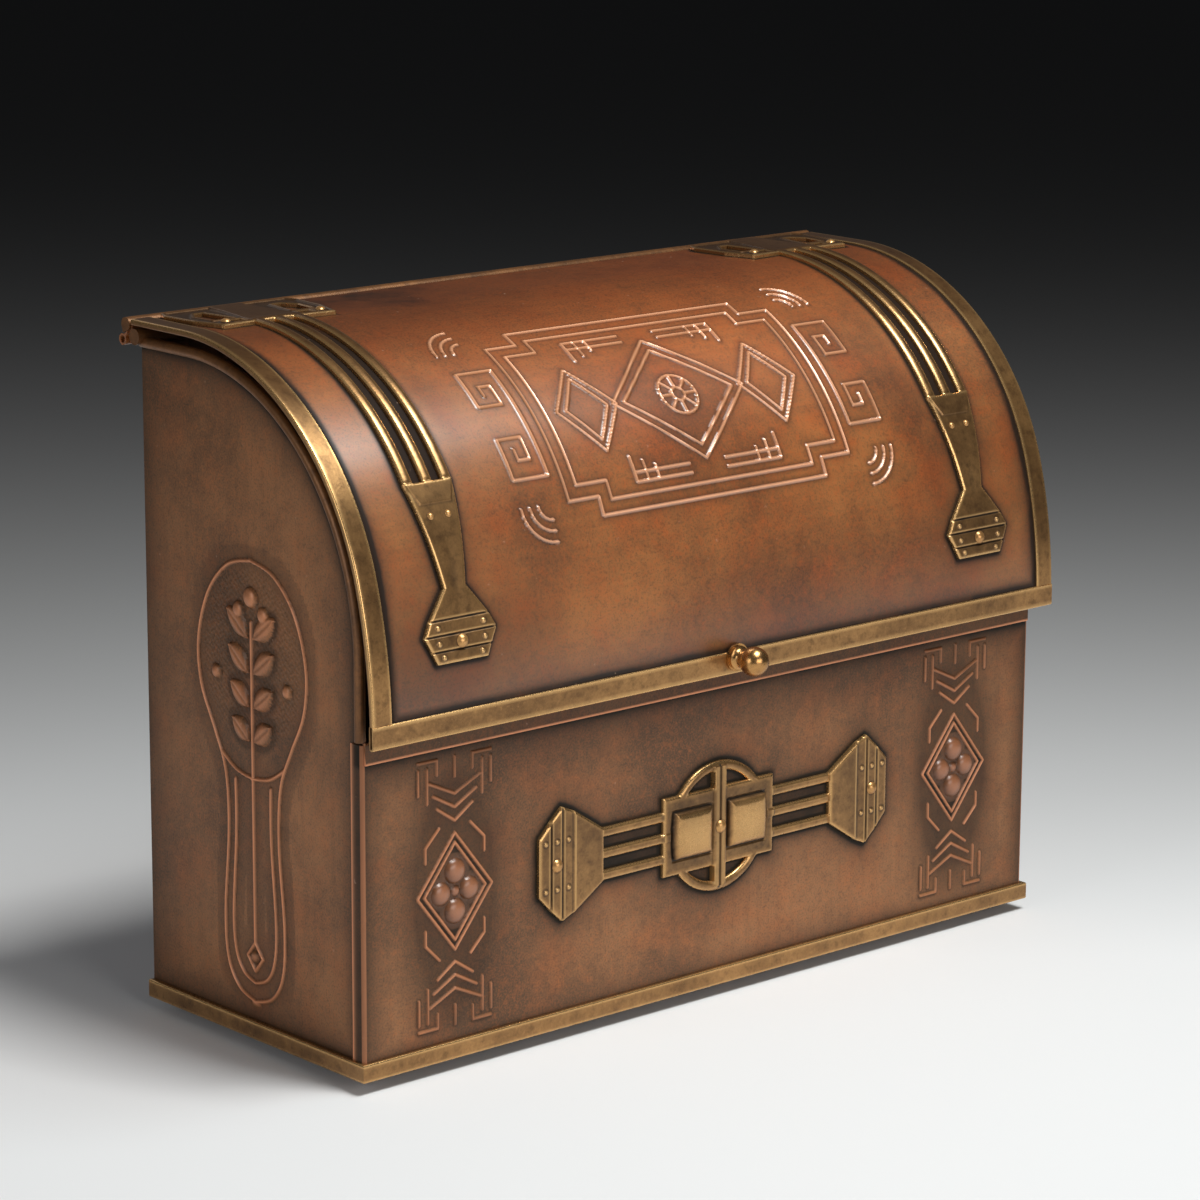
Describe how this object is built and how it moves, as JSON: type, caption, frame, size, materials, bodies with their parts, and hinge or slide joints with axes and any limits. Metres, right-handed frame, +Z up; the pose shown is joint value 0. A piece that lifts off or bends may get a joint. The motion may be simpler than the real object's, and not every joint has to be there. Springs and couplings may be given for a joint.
{
  "type": "wall mounted mailbox",
  "caption": "Sheet-metal letterbox with a curved lid on a rolled-knuckle rear hinge, pierced strap fittings, a riveted front mount, a ball knob and a moulded foot.",
  "frame": {"origin": "centre of the rim that the box stands on, at the level of its underside", "axes": "+X to the right along the front, +Y towards the wall, +Z up"},
  "size_m": [0.38, 0.1923, 0.2865],
  "materials": {
    "copper": "aged dark copper sheet",
    "lid_copper": "aged warm copper sheet",
    "brass": "antique brass, dark in the hollows and bright on the edges",
    "steel": "dull drawn rod"
  },
  "bodies": {
    "box": {"back_panel": "copper", "side_panel_left": "copper", "side_panel_right": "copper", "front_panel": "copper", "floor_panel": "copper", "base_moulding": "brass", "rear_rod": "brass", "side_bead_left": "brass", "side_bead_right": "brass", "hinge_leaf": "brass", "hinge_pin": "steel", "front_mount": "brass", "mount_rivets": "brass", "wall_spacers": "brass"},
    "lid": {"lid_panel": "lid_copper", "lid_trim_left": "brass", "lid_trim_right": "brass", "lid_trim_front": "brass", "lid_rear_bar": "brass", "strap_left": "brass", "strap_right": "brass", "strap_rivets": "brass", "knob": "brass", "knob_washer": "brass", "knob_nut": "brass"}
  },
  "joints": [
    {"name": "lid_hinge", "type": "hinge", "parent": "box", "child": "lid", "pos_m": [0, 0.078, 0.2752], "axis": [-1, 0, 0], "range_deg": [0, 95]}
  ]
}
